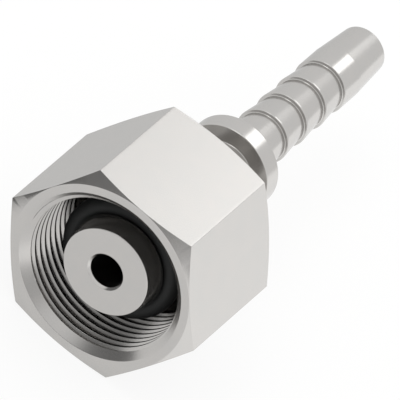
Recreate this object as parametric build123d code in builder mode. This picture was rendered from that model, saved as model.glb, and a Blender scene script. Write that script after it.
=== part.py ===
"""Hydraulic hose nipple: a turned 24 degree cone nipple with its O-ring and swivel union nut.

Frame: the nipple's axis is Y and the origin is the centre of its nose face. The barbed tail
points to +Y, the nut's mouth opens to -Y, and the nut rests on a hexagon flat that faces -Z.
All sizes are millimetres.
"""

import os
from math import radians, sqrt, tan

from build123d import *

# Union nut, with a metric fine thread that is drawn as a plain bore at its minor diameter
thread_radius = 13.85
thread_pitch = 1.5
nut_wall = 2.15
mouth_step = 0.69
mouth_angle = 53.0
relief_step = 0.2
relief_width = 2.15
rear_bore_length = 2.78
rear_bore_chamfer = 0.3
end_circle_inset = 0.05
end_cone_angle = 22.0

# How the nut sits on the nipple that turns in it
nose_recess = 1.71
thread_clearance = 2.038
guide_clearance = 0.08
shoulder_gap = 0.2

# Sealing nose, a cone with a groove for the O-ring
cone_half_angle = 12.0
cone_rise = 3.47
nose_edge_break = 0.15
lip_length = 3.52
groove_depth = 1.13
groove_side_gap = 0.29

# O-ring
o_ring_section = 3.35
o_ring_seat_gap = 0.05

# Head and guide, which carry the nut
head_land = 1.62
shoulder_step = 2.0
guide_length = 5.35

# Through bore
bore_radius = 2.83
nose_bore_chamfer = 0.37
tail_bore_chamfer = 0.25

# Neck and the collar that a crimped ferrule locks behind
neck_wall = 2.33
neck_length = 6.96
collar_step = 2.84
collar_length = 3.5
collar_edge_break = 0.15

# Barbed hose tail
barb_wall = 1.87
barb_height = 0.56
barb_pitch = 6.0
barb_count = 4
barb_land = 0.3
collar_land = 2.4
end_land = 5.0
end_taper_length = 8.5
end_taper_angle = 4.0
tail_edge_break = 0.15

# Radii that follow from the sizes above
cone_slope = tan(radians(cone_half_angle))
thread_minor_radius = thread_radius - 0.625 * sqrt(3) / 2 * thread_pitch
head_radius = thread_minor_radius - thread_clearance
nose_radius = head_radius - cone_rise
groove_radius = nose_radius + lip_length * cone_slope - groove_depth
o_ring_radius = groove_radius + o_ring_seat_gap + o_ring_section / 2
guide_radius = head_radius - shoulder_step
neck_radius = bore_radius + neck_wall
collar_radius = neck_radius + collar_step
barb_radius = bore_radius + barb_wall
barb_root_radius = barb_radius - barb_height
tail_end_radius = barb_radius - end_taper_length * tan(radians(end_taper_angle))
rear_bore_radius = guide_radius + guide_clearance
relief_radius = thread_radius + relief_step
mouth_radius = thread_radius + mouth_step
flat_radius = thread_radius + nut_wall
corner_radius = 2 * flat_radius / sqrt(3)
end_circle_radius = flat_radius - end_circle_inset

# Places along the axis, each one measured from the nose face
groove_width = o_ring_section + 2 * groove_side_gap
groove_end = lip_length + groove_width
cone_end = cone_rise / cone_slope
head_end = cone_end + head_land
guide_start = head_end + shoulder_step
guide_end = guide_start + guide_length
neck_start = guide_end + guide_radius - neck_radius
collar_front = neck_start + neck_length
collar_back = collar_front + collar_length
barb_start = collar_back + collar_land + barb_land
barb_steps = [barb_start + (i + 1) * barb_pitch for i in range(barb_count)]
taper_start = barb_steps[-1] + end_land
tail_end = taper_start + end_taper_length

nut_front = -nose_recess
nut_shoulder_start = head_end + shoulder_gap + head_radius - relief_radius
nut_shoulder_end = head_end + shoulder_gap + head_radius - rear_bore_radius
nut_back = nut_shoulder_end + rear_bore_length
nut_length = nut_back - nut_front


def cone_radius(y):
    """Radius of the sealing cone at the distance y behind the nose face."""
    return nose_radius + y * cone_slope


def rim(part, radius, y):
    """The circular edge of a turned part with this radius, in the plane at y."""
    circles = part.edges().filter_by(GeomType.CIRCLE)
    matches = circles.filter_by(lambda e: abs(e.radius - radius) < 1e-4)
    return matches.filter_by(lambda e: abs(e.arc_center.Y - y) < 1e-4)


def make_nipple():
    """The one-piece nipple: cone, groove, head, guide, neck, collar, barbed tail and bore."""
    sealing_head = [
        (0, 0),
        (0, nose_radius),
        (lip_length, cone_radius(lip_length)),
        (lip_length, groove_radius),
        (groove_end, groove_radius),
        (groove_end, cone_radius(groove_end)),
        (cone_end, head_radius),
        (head_end, head_radius),
        (guide_start, guide_radius),
        (guide_end, guide_radius),
    ]
    neck_and_collar = [
        (neck_start, neck_radius),
        (collar_front, neck_radius),
        (collar_front, collar_radius),
        (collar_back, collar_radius),
        (collar_back, barb_radius),
    ]
    barbs = [(barb_start, barb_radius)]
    for step in barb_steps:
        barbs += [(step, barb_root_radius), (step, barb_radius), (step + barb_land, barb_radius)]
    barbs.pop()  # the last barb's land runs on as the end land
    tail = [(taper_start, barb_radius), (tail_end, tail_end_radius), (tail_end, 0)]

    with BuildPart() as nipple:
        with BuildSketch(Plane.YZ):
            with BuildLine():
                Polyline(*sealing_head, *neck_and_collar, *barbs, *tail, close=True)
            make_face()
        revolve(axis=Axis.Y)
        chamfer(rim(nipple.part, nose_radius, 0), nose_edge_break)
        chamfer(rim(nipple.part, collar_radius, collar_front), collar_edge_break)
        chamfer(rim(nipple.part, collar_radius, collar_back), collar_edge_break)
        chamfer(rim(nipple.part, tail_end_radius, tail_end), tail_edge_break)

        with BuildSketch(Plane.XZ):
            Circle(bore_radius)
        extrude(amount=-tail_end, mode=Mode.SUBTRACT)
        chamfer(rim(nipple.part, bore_radius, 0), nose_bore_chamfer)
        chamfer(rim(nipple.part, bore_radius, tail_end), tail_bore_chamfer)
    nipple.part.label = "nipple_body"
    return nipple.part


def make_o_ring():
    """The O-ring, a plain torus that lies in the middle of the groove."""
    with BuildPart() as o_ring:
        with BuildSketch(Plane.YZ):
            with Locations((lip_length + groove_width / 2, o_ring_radius)):
                Circle(o_ring_section / 2)
        revolve(axis=Axis.Y)
    o_ring.part.label = "o_ring"
    return o_ring.part


def make_union_nut():
    """The swivel nut: hexagon with coned ends, countersunk thread bore, relief and shoulder."""
    end_cone_length = (corner_radius - end_circle_radius) * tan(radians(end_cone_angle))
    mouth_depth = (mouth_radius - thread_minor_radius) / tan(radians(mouth_angle))
    with BuildPart() as nut:
        with BuildSketch(Plane.XZ.offset(-nut_front)):
            RegularPolygon(flat_radius, 6, major_radius=False)
        extrude(amount=-nut_length)

        with BuildSketch(Plane.YZ):
            with BuildLine():
                Polyline(
                    (nut_front, 0),
                    (nut_front, end_circle_radius),
                    (nut_front + end_cone_length, corner_radius),
                    (nut_back - end_cone_length, corner_radius),
                    (nut_back, end_circle_radius),
                    (nut_back, 0),
                    close=True,
                )
            make_face()
        revolve(axis=Axis.Y, mode=Mode.INTERSECT)

        with BuildSketch(Plane.YZ):
            with BuildLine():
                Polyline(
                    (nut_front, 0),
                    (nut_front, mouth_radius),
                    (nut_front + mouth_depth, thread_minor_radius),
                    (nut_shoulder_start - relief_width, thread_minor_radius),
                    (nut_shoulder_start - relief_width, relief_radius),
                    (nut_shoulder_start, relief_radius),
                    (nut_shoulder_end, rear_bore_radius),
                    (nut_back - rear_bore_chamfer, rear_bore_radius),
                    (nut_back, rear_bore_radius + rear_bore_chamfer),
                    (nut_back, 0),
                    close=True,
                )
            make_face()
        revolve(axis=Axis.Y, mode=Mode.SUBTRACT)
    nut.part.label = "union_nut"
    return nut.part


def main():
    """Build the three pieces and write one STEP file for each."""
    os.makedirs("parts", exist_ok=True)
    for piece in (make_nipple(), make_o_ring(), make_union_nut()):
        export_step(piece, f"parts/{piece.label}.step")
        box = piece.bounding_box()
        print(piece.label, round(piece.volume, 1), "mm3", box.min, box.max)


main()
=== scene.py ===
"""Looks of a hydraulic hose nipple: satin plated steel, a black O-ring and a threaded union nut.

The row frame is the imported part's own: the nipple's axis is Y with the origin in the middle of its
nose face, the barbed tail points to +Y, the nut's mouth opens to -Y and the nut lies on a flat.
Sizes in the classes are millimetres, and every mesh is written in metres.
"""

import logging
from dataclasses import dataclass
from enum import Enum
from math import atan, ceil, cos, hypot, pi, radians, sin, sqrt, tan

import bmesh
import bpy
import numpy as np
from mathutils import Matrix, Vector


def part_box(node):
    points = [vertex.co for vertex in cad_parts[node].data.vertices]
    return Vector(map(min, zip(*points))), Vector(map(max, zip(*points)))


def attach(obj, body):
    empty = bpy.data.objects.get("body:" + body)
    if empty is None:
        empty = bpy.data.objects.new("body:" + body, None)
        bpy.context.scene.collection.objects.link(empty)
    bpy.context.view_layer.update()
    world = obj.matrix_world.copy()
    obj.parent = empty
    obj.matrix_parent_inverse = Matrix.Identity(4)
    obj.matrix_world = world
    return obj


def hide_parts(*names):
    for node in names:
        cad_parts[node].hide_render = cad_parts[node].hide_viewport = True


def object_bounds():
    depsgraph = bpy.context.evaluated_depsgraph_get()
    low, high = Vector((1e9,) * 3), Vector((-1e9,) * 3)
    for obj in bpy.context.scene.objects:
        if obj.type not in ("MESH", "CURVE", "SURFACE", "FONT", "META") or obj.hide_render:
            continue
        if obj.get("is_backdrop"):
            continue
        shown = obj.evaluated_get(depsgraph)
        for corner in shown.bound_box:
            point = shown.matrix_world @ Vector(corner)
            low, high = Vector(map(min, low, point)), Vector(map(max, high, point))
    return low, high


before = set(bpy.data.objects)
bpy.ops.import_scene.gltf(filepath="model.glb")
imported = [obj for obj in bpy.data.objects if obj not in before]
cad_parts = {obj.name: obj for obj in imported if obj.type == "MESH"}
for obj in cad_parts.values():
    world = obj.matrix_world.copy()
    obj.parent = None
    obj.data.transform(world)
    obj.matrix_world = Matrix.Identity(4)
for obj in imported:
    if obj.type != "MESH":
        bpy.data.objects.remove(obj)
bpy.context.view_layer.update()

MM = 0.001
LOG = logging.getLogger("hose_nipple")

Point = tuple[float, float]
Colour = tuple[float, float, float, float]


def linear(hex_colour: str) -> Colour:
    """Turn an sRGB hex colour into linear RGBA.

    Args:
        hex_colour: Six hex digits after a hash sign.

    Returns:
        Linear red, green and blue, and an alpha of one.
    """
    channels = [int(hex_colour[i:i + 2], 16) / 255 for i in (1, 3, 5)]
    red, green, blue = (c / 12.92 if c <= 0.04045 else ((c + 0.055) / 1.055) ** 2.4 for c in channels)
    return red, green, blue, 1.0


def add_node(tree: bpy.types.NodeTree, kind: str, settings: dict | None = None,
             links: dict | None = None) -> bpy.types.Node:
    """Add one node with its settings and links.

    Args:
        tree: The node tree that takes the node.
        kind: Blender's name for the node type.
        settings: Values by name; a name of an input sets that socket, any other an attribute.
        links: Output sockets by the name or the index of the input that each one feeds.

    Returns:
        The new node.
    """
    node = tree.nodes.new(kind)
    settings = settings or {}
    for name, value in settings.items():
        if isinstance(name, str) and name not in node.inputs:
            setattr(node, name, value)
    for name, value in settings.items():
        if not isinstance(name, str) or name in node.inputs:
            node.inputs[name].default_value = value
    for name, socket in (links or {}).items():
        tree.links.new(socket, node.inputs[name])
    return node


@dataclass(frozen=True)
class Corner:
    """One corner of an outline: its place along the axis, its radius and how far it is rounded."""

    y: float
    r: float
    rounding: float = 0.0


ARC_STEPS = 4  # straight pieces in a rounded corner
MERGE_MM = 0.0002  # points nearer than this are one point
SHARP_ANGLE = 32.0  # degrees
FLAT_WEIGHT = 80  # how far large faces lead the shading, in per cent


def round_corners(corners: list[Corner], closed: bool = True) -> list[Point]:
    """Draw an outline whose rounded corners are arcs.

    Args:
        corners: The outline's corners in order.
        closed: Whether the last corner joins the first; an open outline keeps its ends as they are.

    Returns:
        The outline's points, each one (y, r).
    """
    points = []
    for i, corner in enumerate(corners):
        here = Vector((corner.y, corner.r))
        at_end = not closed and i in (0, len(corners) - 1)
        if corner.rounding == 0 or at_end:
            points.append((here.x, here.y))
            continue
        before, after = corners[i - 1], corners[(i + 1) % len(corners)]
        back = (Vector((before.y, before.r)) - here).normalized()
        ahead = (Vector((after.y, after.r)) - here).normalized()
        half = back.angle(ahead) / 2
        centre = here + (back + ahead).normalized() * corner.rounding / sin(half)
        first = here + back * corner.rounding / tan(half) - centre
        last = here + ahead * corner.rounding / tan(half) - centre
        for step in range(ARC_STEPS + 1):
            spoke = first.slerp(last, step / ARC_STEPS).normalized() * corner.rounding
            points.append((centre.x + spoke.x, centre.y + spoke.y))
    return points


def subdivide(points: list[Point], longest: float) -> list[Point]:
    """Put points into the straight stretches that are longer than a length.

    Args:
        points: An open run of points.
        longest: The longest stretch that is left whole.

    Returns:
        The run with the new points in it.
    """
    fine = []
    for (y0, r0), (y1, r1) in zip(points, points[1:]):
        pieces = max(1, ceil(hypot(y1 - y0, r1 - r0) / longest - 1e-6))
        fine += [(y0 + (y1 - y0) * k / pieces, r0 + (r1 - r0) * k / pieces) for k in range(pieces)]
    return fine + points[-1:]


def ring_point(angle: float, y: float, r: float) -> tuple[float, float, float]:
    """A point of a turned surface in metres, with its angle counted from +Z towards +X."""
    return r * sin(angle) * MM, y * MM, r * cos(angle) * MM


def make_object(name: str, vertices: list, faces: list, materials: list[bpy.types.Material],
                face_materials: list[int] | None = None, crease: float = SHARP_ANGLE) -> bpy.types.Object:
    """Build a smooth-shaded mesh object whose faces point outward.

    Points that fall together are joined, and faces that have shrunk to nothing there go.

    Args:
        name: The object's name.
        vertices: Points in metres.
        faces: Tuples of vertex numbers.
        materials: The materials, one for each slot.
        face_materials: The slot number of each face, or None where there is one slot.
        crease: Edges that turn by more than this many degrees stay sharp.

    Returns:
        The object, linked to the scene.
    """
    mesh = bpy.data.meshes.new(name)
    mesh.from_pydata(vertices, [], faces)
    for material in materials:
        mesh.materials.append(material)
    if face_materials:
        mesh.polygons.foreach_set("material_index", face_materials)
    work = bmesh.new()
    work.from_mesh(mesh)
    bmesh.ops.remove_doubles(work, verts=work.verts, dist=MERGE_MM * MM)
    bmesh.ops.recalc_face_normals(work, faces=work.faces)
    work.to_mesh(mesh)
    work.free()
    mesh.shade_smooth()
    mesh.set_sharp_from_angle(angle=radians(crease))
    piece = bpy.data.objects.new(name, mesh)
    bpy.context.scene.collection.objects.link(piece)
    weighted = piece.modifiers.new("flat_faces_lead", "WEIGHTED_NORMAL")
    weighted.keep_sharp = True
    weighted.weight = FLAT_WEIGHT
    return piece


def revolve(name: str, outline: list[Point], segments: int, material: bpy.types.Material,
            crease: float = SHARP_ANGLE) -> bpy.types.Object:
    """Turn a closed outline about the nipple's axis.

    Args:
        name: The object's name.
        outline: The closed outline's points, each one (y, r).
        segments: How many steps go round the axis.
        material: The surface's material.
        crease: Edges that turn by more than this many degrees stay sharp.

    Returns:
        The object, linked to the scene.
    """
    count = len(outline)
    angles = [2 * pi * step / segments for step in range(segments)]
    vertices = [ring_point(angle, y, r) for angle in angles for y, r in outline]
    faces = []
    for step in range(segments):
        here, there = step * count, (step + 1) % segments * count
        for i in range(count):
            j = (i + 1) % count
            faces.append((here + i, here + j, there + j, there + i))
    return make_object(name, vertices, faces, [material], crease=crease)


@dataclass(frozen=True)
class PlatedSteel:
    """What both steels of the part share: a satin zinc-nickel plating, thousandths of a millimetre thick.

    The plating scatters light to a soft, slightly warm grey gleam with a faint mottle. Seen at a low
    angle, zinc and nickel brighten less than a plain mirror does, which is what the edge tint says.
    """

    name: str
    colour: str
    tint: str
    roughness: float
    mark_height_mm: float
    mottle_mm: float
    roughness_swing: float = 0.02
    edge_tint: float = 0.77

    def plate(self, tree: bpy.types.NodeTree, place: bpy.types.NodeSocket,
              marks: bpy.types.NodeSocket) -> None:
        """Lay the plating over the marks that the steel's making left in it.

        Args:
            tree: The material's node tree.
            place: The place on the part.
            marks: The height of the marks, from zero to one.
        """
        mottle = add_node(tree, "ShaderNodeTexNoise",
                          {"Scale": 1 / (self.mottle_mm * MM), "Detail": 4.0}, {"Vector": place})
        colour = add_node(tree, "ShaderNodeMix",
                          {"data_type": "RGBA"}, {"Factor": mottle.outputs["Fac"]})
        colour.inputs["A"].default_value = linear(self.colour)
        colour.inputs["B"].default_value = linear(self.tint)
        rough = add_node(tree, "ShaderNodeMapRange",
                         {"To Min": self.roughness - self.roughness_swing,
                          "To Max": self.roughness + self.roughness_swing}, {"Value": marks})
        bump = add_node(tree, "ShaderNodeBump",
                        {"Strength": 1.0, "Distance": self.mark_height_mm * MM}, {"Height": marks})
        edge = (self.edge_tint, self.edge_tint, self.edge_tint, 1.0)
        shader = add_node(tree, "ShaderNodeBsdfPrincipled", {"Metallic": 1.0, "Specular Tint": edge},
                          {"Base Color": colour.outputs["Result"], "Roughness": rough.outputs["Result"],
                           "Normal": bump.outputs["Normal"]})
        add_node(tree, "ShaderNodeOutputMaterial", links={"Surface": shader.outputs[0]})


@dataclass(frozen=True)
class TurnedSteel(PlatedSteel):
    """Free-cutting steel, turned on a lathe and plated with satin zinc-nickel.

    The plating is thin, so the tool's feed marks show through it as fine rings, which draw the
    light out a little across them.
    """

    name: str = "turned_steel"
    colour: str = "#C0BDBA"
    tint: str = "#BAB9B7"
    roughness: float = 0.21
    feed_mm: float = 0.22  # real feed is about 0.1 mm a turn, too fine to show, so it is drawn wider
    mark_height_mm: float = 0.0003
    mottle_mm: float = 2.5

    def build(self) -> bpy.types.Material:
        """Make the material with its rings laid round the nipple's axis.

        Returns:
            The material.
        """
        material = bpy.data.materials.new(self.name)
        material.use_nodes = True
        tree = material.node_tree
        tree.nodes.clear()
        place = add_node(tree, "ShaderNodeTexCoord").outputs["Object"]
        split = add_node(tree, "ShaderNodeSeparateXYZ", links={0: place})
        across = add_node(tree, "ShaderNodeCombineXYZ",
                          links={"X": split.outputs["X"], "Z": split.outputs["Z"]})
        radius = add_node(tree, "ShaderNodeVectorMath", {"operation": "LENGTH"},
                          {0: across.outputs[0]})
        rings = add_node(tree, "ShaderNodeCombineXYZ",
                         links={"X": split.outputs["Y"], "Y": radius.outputs["Value"]})
        marks = add_node(tree, "ShaderNodeTexNoise",
                         {"noise_dimensions": "2D", "Scale": 1 / (self.feed_mm * MM), "Detail": 3.0,
                          "Roughness": 0.6}, {"Vector": rings.outputs[0]})
        self.plate(tree, place, marks.outputs["Fac"])
        return material


@dataclass(frozen=True)
class DrawnSteel(PlatedSteel):
    """Bright-drawn hexagon steel bar, plated with satin zinc-nickel.

    The die leaves faint straight lines along the bar, so the flats have a silky grain that runs
    along the nut and catches the light a little unevenly.
    """

    name: str = "drawn_steel"
    colour: str = "#C0BDBA"
    tint: str = "#BBBAB8"
    roughness: float = 0.25
    line_mm: float = 0.25  # real die lines are near 0.05 mm apart, drawn wider so that they show
    line_stretch: float = 60.0
    mark_height_mm: float = 0.0002
    mottle_mm: float = 3.0

    def build(self) -> bpy.types.Material:
        """Make the material with its grain along the nipple's axis.

        Returns:
            The material.
        """
        material = bpy.data.materials.new(self.name)
        material.use_nodes = True
        tree = material.node_tree
        tree.nodes.clear()
        place = add_node(tree, "ShaderNodeTexCoord").outputs["Object"]
        along = add_node(tree, "ShaderNodeMapping",
                         {"Scale": (1.0, 1 / self.line_stretch, 1.0)}, {"Vector": place})
        lines = add_node(tree, "ShaderNodeTexNoise",
                         {"Scale": 1 / (self.line_mm * MM), "Detail": 3.0, "Roughness": 0.55},
                         {"Vector": along.outputs[0]})
        self.plate(tree, place, lines.outputs["Fac"])
        return material


@dataclass(frozen=True)
class NitrileRubber:
    """Black nitrile rubber, moulded and slightly oily.

    The moulded skin is matt with a faint grain, and the film of oil on it gives a dull sheen.
    """

    name: str = "nitrile_rubber"
    colour: str = "#1A1B1B"
    bloom: str = "#212222"
    roughness: float = 0.6
    roughness_swing: float = 0.06
    grain_mm: float = 0.12
    grain_height_mm: float = 0.004
    bloom_mm: float = 1.6

    def build(self) -> bpy.types.Material:
        """Make the material.

        Returns:
            The material.
        """
        material = bpy.data.materials.new(self.name)
        material.use_nodes = True
        tree = material.node_tree
        tree.nodes.clear()
        place = add_node(tree, "ShaderNodeTexCoord").outputs["Object"]
        grain = add_node(tree, "ShaderNodeTexNoise",
                         {"Scale": 1 / (self.grain_mm * MM), "Detail": 2.0}, {"Vector": place})
        patches = add_node(tree, "ShaderNodeTexNoise",
                           {"Scale": 1 / (self.bloom_mm * MM), "Detail": 3.0}, {"Vector": place})
        colour = add_node(tree, "ShaderNodeMix",
                          {"data_type": "RGBA"}, {"Factor": patches.outputs["Fac"]})
        colour.inputs["A"].default_value = linear(self.colour)
        colour.inputs["B"].default_value = linear(self.bloom)
        rough = add_node(tree, "ShaderNodeMapRange",
                         {"To Min": self.roughness - self.roughness_swing,
                          "To Max": self.roughness + self.roughness_swing},
                         {"Value": patches.outputs["Fac"]})
        bump = add_node(tree, "ShaderNodeBump",
                        {"Strength": 0.5, "Distance": self.grain_height_mm * MM},
                        {"Height": grain.outputs["Fac"]})
        shader = add_node(tree, "ShaderNodeBsdfPrincipled", {"IOR": 1.5, "Specular IOR Level": 0.3},
                          {"Base Color": colour.outputs["Result"], "Roughness": rough.outputs["Result"],
                           "Normal": bump.outputs["Normal"]})
        add_node(tree, "ShaderNodeOutputMaterial", links={"Surface": shader.outputs[0]})
        return material


@dataclass
class Nipple:
    """The one-piece turned nipple, from its coned nose to its barbed tail."""

    nose_radius: float = 7.53
    cone_slope: float = tan(radians(12.0))
    lip_y: float = 3.52
    groove_radius: float = 7.148
    groove_width: float = 3.93
    head_radius: float = 11.0
    head_land: float = 1.62
    shoulder_step: float = 2.0
    guide_length: float = 5.35
    neck_radius: float = 5.16
    neck_length: float = 6.96
    collar_radius: float = 8.0
    collar_length: float = 3.5
    collar_land: float = 2.7
    barb_radius: float = 4.7
    barb_root_radius: float = 4.14
    barb_pitch: float = 6.0
    barb_count: int = 4
    barb_land: float = 0.3
    end_land: float = 5.0
    taper_length: float = 8.5
    taper_slope: float = tan(radians(4.0))
    bore_radius: float = 2.83
    nose_bore_chamfer: float = 0.37
    tail_bore_chamfer: float = 0.25
    edge_break: float = 0.15
    barb_crest_rounding: float = 0.12
    barb_root_rounding: float = 0.14
    fine_break: float = 0.05
    segments: int = 256

    def outline(self) -> list[Point]:
        """Draw the closed outline, from the bore's mouth over the outside to the tail and back.

        Returns:
            The outline's points, each one (y, r).
        """
        fine = self.fine_break
        groove_end = self.lip_y + self.groove_width
        cone_end = (self.head_radius - self.nose_radius) / self.cone_slope
        head_end = cone_end + self.head_land
        guide_radius = self.head_radius - self.shoulder_step
        guide_start = head_end + self.shoulder_step
        guide_end = guide_start + self.guide_length
        neck_start = guide_end + guide_radius - self.neck_radius
        collar_front = neck_start + self.neck_length
        collar_back = collar_front + self.collar_length
        corners = [
            Corner(self.nose_bore_chamfer, self.bore_radius, fine),
            Corner(0.0, self.bore_radius + self.nose_bore_chamfer, fine),
            Corner(0.0, self.nose_radius, self.edge_break),
            Corner(self.lip_y, self.nose_radius + self.lip_y * self.cone_slope, fine),
            Corner(self.lip_y, self.groove_radius, self.edge_break),
            Corner(groove_end, self.groove_radius, self.edge_break),
            Corner(groove_end, self.nose_radius + groove_end * self.cone_slope, fine),
            Corner(cone_end, self.head_radius, fine),
            Corner(head_end, self.head_radius, fine),
            Corner(guide_start, guide_radius, self.edge_break),
            Corner(guide_end, guide_radius, self.edge_break),
            Corner(neck_start, self.neck_radius, self.edge_break),
            Corner(collar_front, self.neck_radius, self.edge_break),
            Corner(collar_front, self.collar_radius, self.edge_break),
            Corner(collar_back, self.collar_radius, self.edge_break),
            Corner(collar_back, self.barb_radius, self.edge_break),
        ]
        step = collar_back + self.collar_land
        corners.append(Corner(step, self.barb_radius, self.barb_crest_rounding))
        for barb in range(self.barb_count):
            step += self.barb_pitch
            corners.append(Corner(step, self.barb_root_radius, self.barb_root_rounding))
            corners.append(Corner(step, self.barb_radius, self.barb_crest_rounding))
            if barb < self.barb_count - 1:
                land_end = step + self.barb_land
                corners.append(Corner(land_end, self.barb_radius, self.barb_crest_rounding))
        taper_start = step + self.end_land
        tail_end = taper_start + self.taper_length
        tail_radius = self.barb_radius - self.taper_length * self.taper_slope
        corners += [
            Corner(taper_start, self.barb_radius, self.edge_break),
            Corner(tail_end, tail_radius, self.edge_break),
            Corner(tail_end, self.bore_radius + self.tail_bore_chamfer, fine),
            Corner(tail_end - self.tail_bore_chamfer, self.bore_radius, fine),
        ]
        return round_corners(corners)

    def build(self, steel: bpy.types.Material) -> bpy.types.Object:
        """Turn the nipple and stand it in for its CAD node.

        Args:
            steel: The turned and plated steel.

        Returns:
            The nipple's object.
        """
        piece = revolve("nipple", self.outline(), self.segments, steel)
        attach(piece, "nipple")
        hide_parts("nipple_body")
        return piece


@dataclass
class SealRing:
    """The O-ring in the nose cone's groove."""

    section: float = 3.35
    section_steps: int = 48
    segments: int = 256

    def build(self, rubber: bpy.types.Material) -> bpy.types.Object:
        """Mould the ring where its CAD node lies.

        Args:
            rubber: The ring's rubber.

        Returns:
            The ring's object.
        """
        low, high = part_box("o_ring")
        middle_y = (low.y + high.y) / 2 / MM
        middle_radius = high.x / MM - self.section / 2
        outline = []
        for step in range(self.section_steps):
            turn = 2 * pi * step / self.section_steps
            outline.append((middle_y + self.section / 2 * cos(turn),
                            middle_radius + self.section / 2 * sin(turn)))
        piece = revolve("seal_ring", outline, self.segments, rubber)
        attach(piece, "nipple")
        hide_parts("o_ring")
        return piece


class NutFinish(Enum):
    """The two finishes of the nut, by their place in its list of materials."""

    DRAWN = 0
    TURNED = 1


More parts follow.
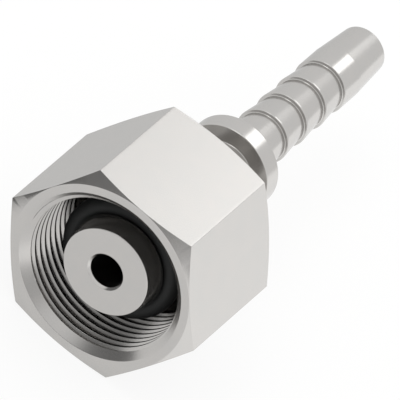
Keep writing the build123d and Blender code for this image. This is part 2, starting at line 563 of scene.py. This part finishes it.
@dataclass
class UnionNut:
    """The union nut: hexagon with coned ends, countersunk mouth and a real metric fine thread.

    The nut's section at each angle is one column of points. The thread's rows climb by one pitch in
    a full turn, so the last column meets the first one a whole pitch further along.
    """

    thread_radius: float = 13.85
    thread_pitch: float = 1.5
    thread_start: float = 0.09
    minor_radius: float = 13.038
    crest_rounding: float = 0.04
    root_rounding: float = 0.14
    mouth_radius: float = 14.54
    mouth_slope: float = tan(radians(53.0))
    rim_depth: float = 0.1
    relief_lap: float = 0.1
    relief_radius: float = 14.05
    relief_start: float = 12.945
    relief_end: float = 15.095
    thread_exit: float = 0.3
    rear_bore_radius: float = 9.08
    rear_bore_chamfer: float = 0.3
    flat_radius: float = 16.0
    hexagon_rounding: float = 0.12
    end_circle_radius: float = 15.95
    end_cone_slope: float = tan(radians(22.0))
    fine_break: float = 0.05
    segments: int = 288
    row_spacing: float = 0.085

    def column_angles(self) -> list[float]:
        """Angles of the columns, closer together where the hexagon's corners are rounded.

        Returns:
            The angles in order, in radians.
        """
        arc = self.corner_arc()
        angles = [2 * pi * step / self.segments for step in range(self.segments)]
        for corner in range(6):
            middle = radians(30 + 60 * corner)
            angles += [middle + arc * share for share in (-1.0, -0.5, 0.5, 1.0)]
        return sorted(angles)

    def corner_arc(self) -> float:
        """Half the angle, seen from the axis, over which a hexagon corner is rounded."""
        inset = (self.flat_radius - self.hexagon_rounding) / self.flat_radius
        return radians(30) - atan(inset * tan(radians(30)))

    def hexagon_radius(self, angle: float) -> float:
        """Distance from the axis to the hexagon's outside.

        Args:
            angle: The direction, counted from +Z towards +X.

        Returns:
            The distance in millimetres.
        """
        off_corner = angle % radians(60) - radians(30)
        if abs(off_corner) >= self.corner_arc():
            return self.flat_radius / cos(radians(30) - abs(off_corner))
        centre = (self.flat_radius - self.hexagon_rounding) / cos(radians(30))
        reach = self.hexagon_rounding ** 2 - (centre * sin(off_corner)) ** 2
        return centre * cos(off_corner) + sqrt(max(0.0, reach))

    def thread_turn(self) -> list[Point]:
        """Outline of one pitch of the thread, with flat crests and rounded roots.

        Returns:
            Points (y, r) with y counted from the middle of a crest, over one pitch.
        """
        pitch = self.thread_pitch
        crest = pitch / 4
        flank = (self.thread_radius - self.minor_radius) * tan(radians(30))
        corners = []
        for turn in range(3):
            base = turn * pitch
            corners += [
                Corner(base - crest / 2, self.minor_radius, self.crest_rounding),
                Corner(base + crest / 2, self.minor_radius, self.crest_rounding),
                Corner(base + crest / 2 + flank, self.thread_radius, self.root_rounding),
                Corner(base + pitch - crest / 2 - flank, self.thread_radius, self.root_rounding),
            ]
        points = round_corners(corners, closed=False)
        inner = [(y - pitch, r) for y, r in points if pitch <= y < 2 * pitch]
        inner = [(0.0, self.minor_radius)] + inner + [(pitch, self.minor_radius)]
        return subdivide(inner, self.row_spacing)[:-1]

    def thread_column(self, angle: float, front: float) -> list[Point]:
        """The threaded part of one column, from just inside the mouth to the relief.

        The rows start a pitch ahead of the mouth. Those ahead of the rim fall together on it, so
        that the countersink keeps its true cone all the way round.

        Args:
            angle: The column's angle.
            front: Place of the nut's front face.

        Returns:
            Points (y, r), as many in every column.
        """
        pitch, turn = self.thread_pitch, self.thread_turn()
        lead = pitch * angle / (2 * pi)
        start = front + self.thread_start - pitch
        turns = int((self.relief_start + self.relief_lap - start) / pitch) + 1
        y = np.array([start + pitch * n + step for n in range(turns) for step, _ in turn]) + lead
        y = np.maximum(y, front + self.rim_depth)
        thread = np.array([r for _ in range(turns) for _, r in turn])
        exit_slope = (self.relief_radius - self.minor_radius) / self.thread_exit

        def cut(place: np.ndarray) -> np.ndarray:
            """Radius to which the countersink or the relief opens the bore at a place."""
            sink = self.mouth_radius - (place - front) * self.mouth_slope
            relief = self.relief_radius + np.minimum(0.0, place - self.relief_start) * exit_slope
            return np.maximum(sink, relief)

        over = thread - cut(y)
        crossings = np.nonzero(over[:-1] * over[1:] < 0)[0]
        for k in crossings:
            share = over[k] / (over[k] - over[k + 1])
            place = y[k] + (y[k + 1] - y[k]) * share
            nearer = k if share < 0.5 else k + 1
            y[nearer] = place
            thread[nearer] = cut(np.array([place]))[0]
        return list(zip(y.tolist(), np.maximum(thread, cut(y)).tolist()))

    def shell_column(self, angle: float, front: float,
                     back: float) -> tuple[list[Point], list[NutFinish]]:
        """The rest of one column, from the relief's end over the back and the outside to the mouth.

        Args:
            angle: The column's angle.
            front: Place of the nut's front face.
            back: Place of its back face.

        Returns:
            Points (y, r), and the finish of the surface that starts at each point.
        """
        outside = self.hexagon_radius(angle)
        cone = (outside - self.end_circle_radius) * self.end_cone_slope
        shoulder = self.relief_end + self.relief_radius - self.rear_bore_radius
        fine, rim = self.fine_break, self.rim_depth
        corners = [
            (Corner(self.relief_end - self.relief_lap, self.relief_radius), NutFinish.TURNED),
            (Corner(self.relief_end, self.relief_radius, fine), NutFinish.TURNED),
            (Corner(shoulder, self.rear_bore_radius, fine), NutFinish.TURNED),
            (Corner(back - self.rear_bore_chamfer, self.rear_bore_radius, fine), NutFinish.TURNED),
            (Corner(back, self.rear_bore_radius + self.rear_bore_chamfer, fine), NutFinish.TURNED),
            (Corner(back, self.end_circle_radius, fine), NutFinish.TURNED),
            (Corner(back - cone, outside, fine), NutFinish.DRAWN),
            (Corner(front + cone, outside, fine), NutFinish.TURNED),
            (Corner(front, self.end_circle_radius, fine), NutFinish.TURNED),
            (Corner(front, self.mouth_radius, fine), NutFinish.TURNED),
            (Corner(front + rim, self.mouth_radius - rim * self.mouth_slope), NutFinish.TURNED),
        ]
        points = round_corners([corner for corner, _ in corners], closed=False)
        finishes = []
        for corner, finish in corners:
            finishes += [finish] * (ARC_STEPS + 1 if corner.rounding else 1)
        return points, finishes

    def build(self, drawn: bpy.types.Material, turned: bpy.types.Material) -> bpy.types.Object:
        """Build the nut column by column and stand it in for its CAD node.

        Args:
            drawn: The finish of the six flats.
            turned: The finish of the coned ends, the faces, the bore and the thread.

        Returns:
            The nut's object.
        """
        low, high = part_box("union_nut")
        front, back = low.y / MM, high.y / MM
        angles = self.column_angles()
        vertices, thread, shell, finishes = [], [], [], []
        for angle in angles:
            rows = self.thread_column(angle, front)
            points, finishes = self.shell_column(angle, front, back)
            thread.append(range(len(vertices), len(vertices) + len(rows)))
            shell.append(range(thread[-1].stop, thread[-1].stop + len(points)))
            vertices += [ring_point(angle, y, r) for y, r in rows + points]

        faces, slots = [], []
        turned_slot = NutFinish.TURNED.value
        per_turn, last = len(self.thread_turn()), len(angles) - 1
        for here in range(len(angles)):
            there = (here + 1) % len(angles)
            a, b = shell[here], shell[there]
            for i in range(len(a) - 1):
                faces.append((a[i], a[i + 1], b[i + 1], b[i]))
                slots.append(finishes[i].value)
            climb = per_turn if here == last else 0
            a, b = thread[here], thread[there][climb:]
            for i in range(len(b) - 1):
                faces.append((a[i], a[i + 1], b[i + 1], b[i]))
                slots.append(turned_slot)
            if here != last:
                faces.append((a[-1], shell[here][0], shell[there][0], b[-1]))
                slots.append(turned_slot)
        end = thread[last]
        relief = [*end[len(end) - 1 - per_turn:], shell[last][0], shell[0][0]]
        faces += [(thread[0][-1], i, j) for i, j in zip(relief, relief[1:])]
        slots += [turned_slot] * (len(faces) - len(slots))

        piece = make_object("nut", vertices, faces, [drawn, turned], slots)
        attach(piece, "nut")
        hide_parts("union_nut")
        return piece


@dataclass(frozen=True)
class PhotoCamera:
    """A very long lens, because the photograph shows no perspective at all."""

    azimuth: float = 10.495
    elevation: float = 40.635
    roll: float = 33.215
    distance_mm: float = 2768.0
    lens_mm: float = 1600.0
    aim_y_mm: float = 35.0
    aim_right_mm: float = -3.0
    aim_up_mm: float = -4.13

    def build(self) -> bpy.types.Object:
        """Place the camera and make it the scene's own.

        Returns:
            The camera's object.
        """
        a, e, roll = radians(self.azimuth), radians(self.elevation), radians(self.roll)
        back = Vector((sin(a) * cos(e), -cos(a) * cos(e), sin(e)))
        level = Vector((0, 0, 1)).cross(back).normalized()
        upright = back.cross(level)
        right = level * cos(roll) + upright * sin(roll)
        up = upright * cos(roll) - level * sin(roll)
        aim = Vector((0, self.aim_y_mm, 0)) + right * self.aim_right_mm + up * self.aim_up_mm
        place = (aim + back * self.distance_mm) * MM
        data = bpy.data.cameras.new("camera")
        data.lens = self.lens_mm
        data.clip_start, data.clip_end = self.distance_mm * MM / 10, self.distance_mm * MM * 10
        camera = bpy.data.objects.new("camera", data)
        turn = Matrix((right, up, back)).transposed().to_4x4()
        camera.matrix_world = Matrix.Translation(place) @ turn
        bpy.context.scene.collection.objects.link(camera)
        bpy.context.scene.camera = camera
        return camera


@dataclass(frozen=True)
class Softbox:
    """One soft lamp, aimed at the part, with its angles in degrees and its sizes in metres."""

    name: str
    azimuth: float
    elevation: float
    distance: float
    width: float
    height: float
    radiance: float

    def build(self) -> bpy.types.Object:
        """Hang the lamp.

        Returns:
            The lamp's object.
        """
        a, e = radians(self.azimuth), radians(self.elevation)
        back = Vector((sin(a) * cos(e), -cos(a) * cos(e), sin(e)))
        data = bpy.data.lights.new(self.name, "AREA")
        data.shape = "RECTANGLE"
        data.size, data.size_y = self.width, self.height
        data.energy = self.radiance * self.width * self.height * pi
        lamp = bpy.data.objects.new(self.name, data)
        lamp.location = back * self.distance
        lamp.rotation_mode = "QUATERNION"
        lamp.rotation_quaternion = back.to_track_quat("Z", "Y")
        lamp.visible_camera = False
        bpy.context.scene.collection.objects.link(lamp)
        return lamp


@dataclass(frozen=True)
class FloorLight:
    """A light panel that lies on the table and shines upward: its name, its sides and its light."""

    name: str
    left_mm: float
    right_mm: float
    front_mm: float
    back_mm: float
    radiance: float
    lift_mm: float = 0.5

    def build(self, height: float) -> bpy.types.Object:
        """Lay the panel down.

        Args:
            height: Height of the table in metres.

        Returns:
            The panel's object.
        """
        width, depth = (self.right_mm - self.left_mm) * MM, (self.back_mm - self.front_mm) * MM
        data = bpy.data.lights.new(self.name, "AREA")
        data.shape = "RECTANGLE"
        data.size, data.size_y = width, depth
        data.energy = self.radiance * width * depth * pi
        panel = bpy.data.objects.new(self.name, data)
        middle = Vector((self.left_mm + self.right_mm, self.front_mm + self.back_mm, 2 * self.lift_mm)) / 2
        panel.location = middle * MM + Vector((0, 0, height))
        panel.rotation_euler = (pi, 0, 0)
        panel.visible_camera = False
        bpy.context.scene.collection.objects.link(panel)
        return panel


@dataclass(frozen=True)
class PaintedReflectionSheet:
    """A glowing sheet that only reflections see, a painted dark reflection on the metal, from close by the
    nut's left side out to its front.

    Each post is an azimuth from the front towards the right, a distance from the nose and the
    sheet's glow there, which the metal shows as a painted reflection. Its upper hem fades into the white
    room.
    """

    posts: tuple[tuple[float, float, float], ...] = (
        (-97, 25, 0.2), (-75, 31, 0.2), (-50, 56, 0.2), (-25, 140, 0.25),
        (0, 240, 0.4), (14, 280, 0.55), (40, 320, 0.62), (48, 330, 1.0))
    hem_elevation: float = 20.0
    top_elevation: float = 28.0
    room_level: float = 1.0
    columns_between: int = 6

    def build(self, height: float) -> bpy.types.Object:
        """Hang the sheet down to the table. It glows, and only reflections see it, so it paints dark
        reflections on the metal.

        Args:
            height: Height of the table in metres.

        Returns:
            The curtain's object.
        """
        stops = []
        for near, far in zip(self.posts, self.posts[1:]):
            shares = [step / self.columns_between for step in range(self.columns_between)]
            stops += [[a + (b - a) * share for a, b in zip(near, far)] for share in shares]
        stops.append(self.posts[-1])
        vertices, levels = [], []
        for azimuth, distance, level in stops:
            x = sin(radians(azimuth)) * distance * MM
            y = -cos(radians(azimuth)) * distance * MM
            hem, top = (distance * MM * tan(radians(e)) for e in (self.hem_elevation, self.top_elevation))
            vertices += [(x, y, height), (x, y, hem), (x, y, top)]
            levels += [level, level, self.room_level]
        faces = [(i, i + 3, i + 4, i + 1) for i in range(len(vertices) - 3) if i % 3 < 2]
        mesh = bpy.data.meshes.new("mirror_only_sheet")
        mesh.from_pydata(vertices, [], faces)
        mesh.attributes.new("level", "FLOAT", "POINT").data.foreach_set("value", levels)
        mirror_only_sheet = bpy.data.objects.new("mirror_only_sheet", mesh)
        bpy.context.scene.collection.objects.link(mirror_only_sheet)
        material = bpy.data.materials.new("painted_reflection_glow")
        material.use_nodes = True
        tree = material.node_tree
        tree.nodes.clear()
        level = add_node(tree, "ShaderNodeAttribute", {"attribute_name": "level"}).outputs["Fac"]
        # painted reflection: the sheet glows only for mirror rays and darkens what the metal reflects
        sheet_glow = add_node(tree, "ShaderNodeEmission", {"Color": linear("#FFFFFF")}, {"Strength": level})
        add_node(tree, "ShaderNodeOutputMaterial", links={"Surface": sheet_glow.outputs[0]})
        mesh.materials.append(material)
        # hidden from the camera, from diffuse light and from shadows, so the sheet is only a painted
        # reflection
        mirror_only_sheet.visible_camera = False
        mirror_only_sheet.visible_diffuse = False
        mirror_only_sheet.visible_shadow = False
        mirror_only_sheet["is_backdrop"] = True
        return mirror_only_sheet


@dataclass(frozen=True)
class Studio:
    """A white table in a white room, with soft lamps and a glowing sheet, seen only in reflections, that
    paints dark reflections on the metal.
    """

    floor_colour: str = "#F6F6F5"
    floor_size: float = 6.0
    floor_glow: float = 0.85
    room_level: float = 1.0

    def floor(self, height: float) -> bpy.types.Object:
        """Lay the table under the part's lowest point.

        Args:
            height: Height of the table in metres.

        Returns:
            The floor's object.
        """
        half = self.floor_size / 2
        corners = [(-half, -half, height), (half, -half, height),
                   (half, half, height), (-half, half, height)]
        mesh = bpy.data.meshes.new("floor")
        mesh.from_pydata(corners, [], [(0, 1, 2, 3)])
        table = bpy.data.objects.new("floor", mesh)
        bpy.context.scene.collection.objects.link(table)
        material = bpy.data.materials.new("white_table")
        material.use_nodes = True
        tree = material.node_tree
        tree.nodes.clear()
        seen = self.seen_directly(tree)
        share = add_node(tree, "ShaderNodeMath", {"operation": "MULTIPLY", 1: self.floor_glow}, {0: seen})
        paint = add_node(tree, "ShaderNodeBsdfDiffuse", {"Color": linear(self.floor_colour)})
        glow = add_node(tree, "ShaderNodeEmission", {"Color": linear("#FFFFFF"), "Strength": 1.0})
        both = add_node(tree, "ShaderNodeMixShader",
                        links={0: share.outputs[0], 1: paint.outputs[0], 2: glow.outputs[0]})
        add_node(tree, "ShaderNodeOutputMaterial", links={"Surface": both.outputs[0]})
        mesh.materials.append(material)
        table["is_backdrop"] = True
        return table

    def seen_directly(self, tree: bpy.types.NodeTree) -> bpy.types.NodeSocket:
        """One where a camera, mirror or glass ray sees the surface, and zero elsewhere.

        Args:
            tree: The node tree that asks.

        Returns:
            The socket that holds the answer.
        """
        path = add_node(tree, "ShaderNodeLightPath")
        either = add_node(tree, "ShaderNodeMath", {"operation": "MAXIMUM"},
                          {0: path.outputs["Is Camera Ray"], 1: path.outputs["Is Glossy Ray"]})
        seen = add_node(tree, "ShaderNodeMath", {"operation": "MAXIMUM"},
                        {0: either.outputs[0], 1: path.outputs["Is Transmission Ray"]})
        return seen.outputs[0]

    def room(self) -> None:
        """Make the room's plain white light."""
        world = bpy.data.worlds.new("room")
        world.use_nodes = True
        tree = world.node_tree
        tree.nodes.clear()
        light = add_node(tree, "ShaderNodeBackground",
                         {"Color": linear("#FFFFFF"), "Strength": self.room_level})
        add_node(tree, "ShaderNodeOutputWorld", links={"Surface": light.outputs[0]})
        bpy.context.scene.world = world

    def build(self) -> None:
        """Set up the floor, the room, the lamps and the sheet that paints dark reflections."""
        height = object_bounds()[0].z
        self.floor(height)
        self.room()
        Softbox("back_lamp", azimuth=175.0, elevation=41.0, distance=1.0,
                width=0.40, height=0.25, radiance=1.7).build()
        Softbox("top_lamp", azimuth=-75.0, elevation=62.0, distance=0.8,
                width=0.50, height=0.30, radiance=1.6).build()
        FloorLight("tail_panel", left_mm=5.0, right_mm=260.0, front_mm=26.0, back_mm=280.0,
                   radiance=0.42).build(height)
        FloorLight("mouth_panel", left_mm=16.0, right_mm=150.0, front_mm=-120.0, back_mm=-6.0,
                   radiance=0.28).build(height)
        PaintedReflectionSheet().build(height)
        bpy.context.scene.view_settings.view_transform = "Standard"


def main() -> None:
    """Build the camera, the pieces and the studio in order, and report each piece."""
    logging.basicConfig(level=logging.INFO, format="%(name)s: %(message)s")
    PhotoCamera().build()
    turned = TurnedSteel().build()
    drawn = DrawnSteel().build()
    rubber = NitrileRubber().build()
    pieces = [
        Nipple().build(turned),
        SealRing().build(rubber),
        UnionNut().build(drawn, turned),
    ]
    for piece in pieces:
        LOG.info("%s: %d faces", piece.name, len(piece.data.polygons))
    Studio().build()


if __name__ == "__main__":
    main()
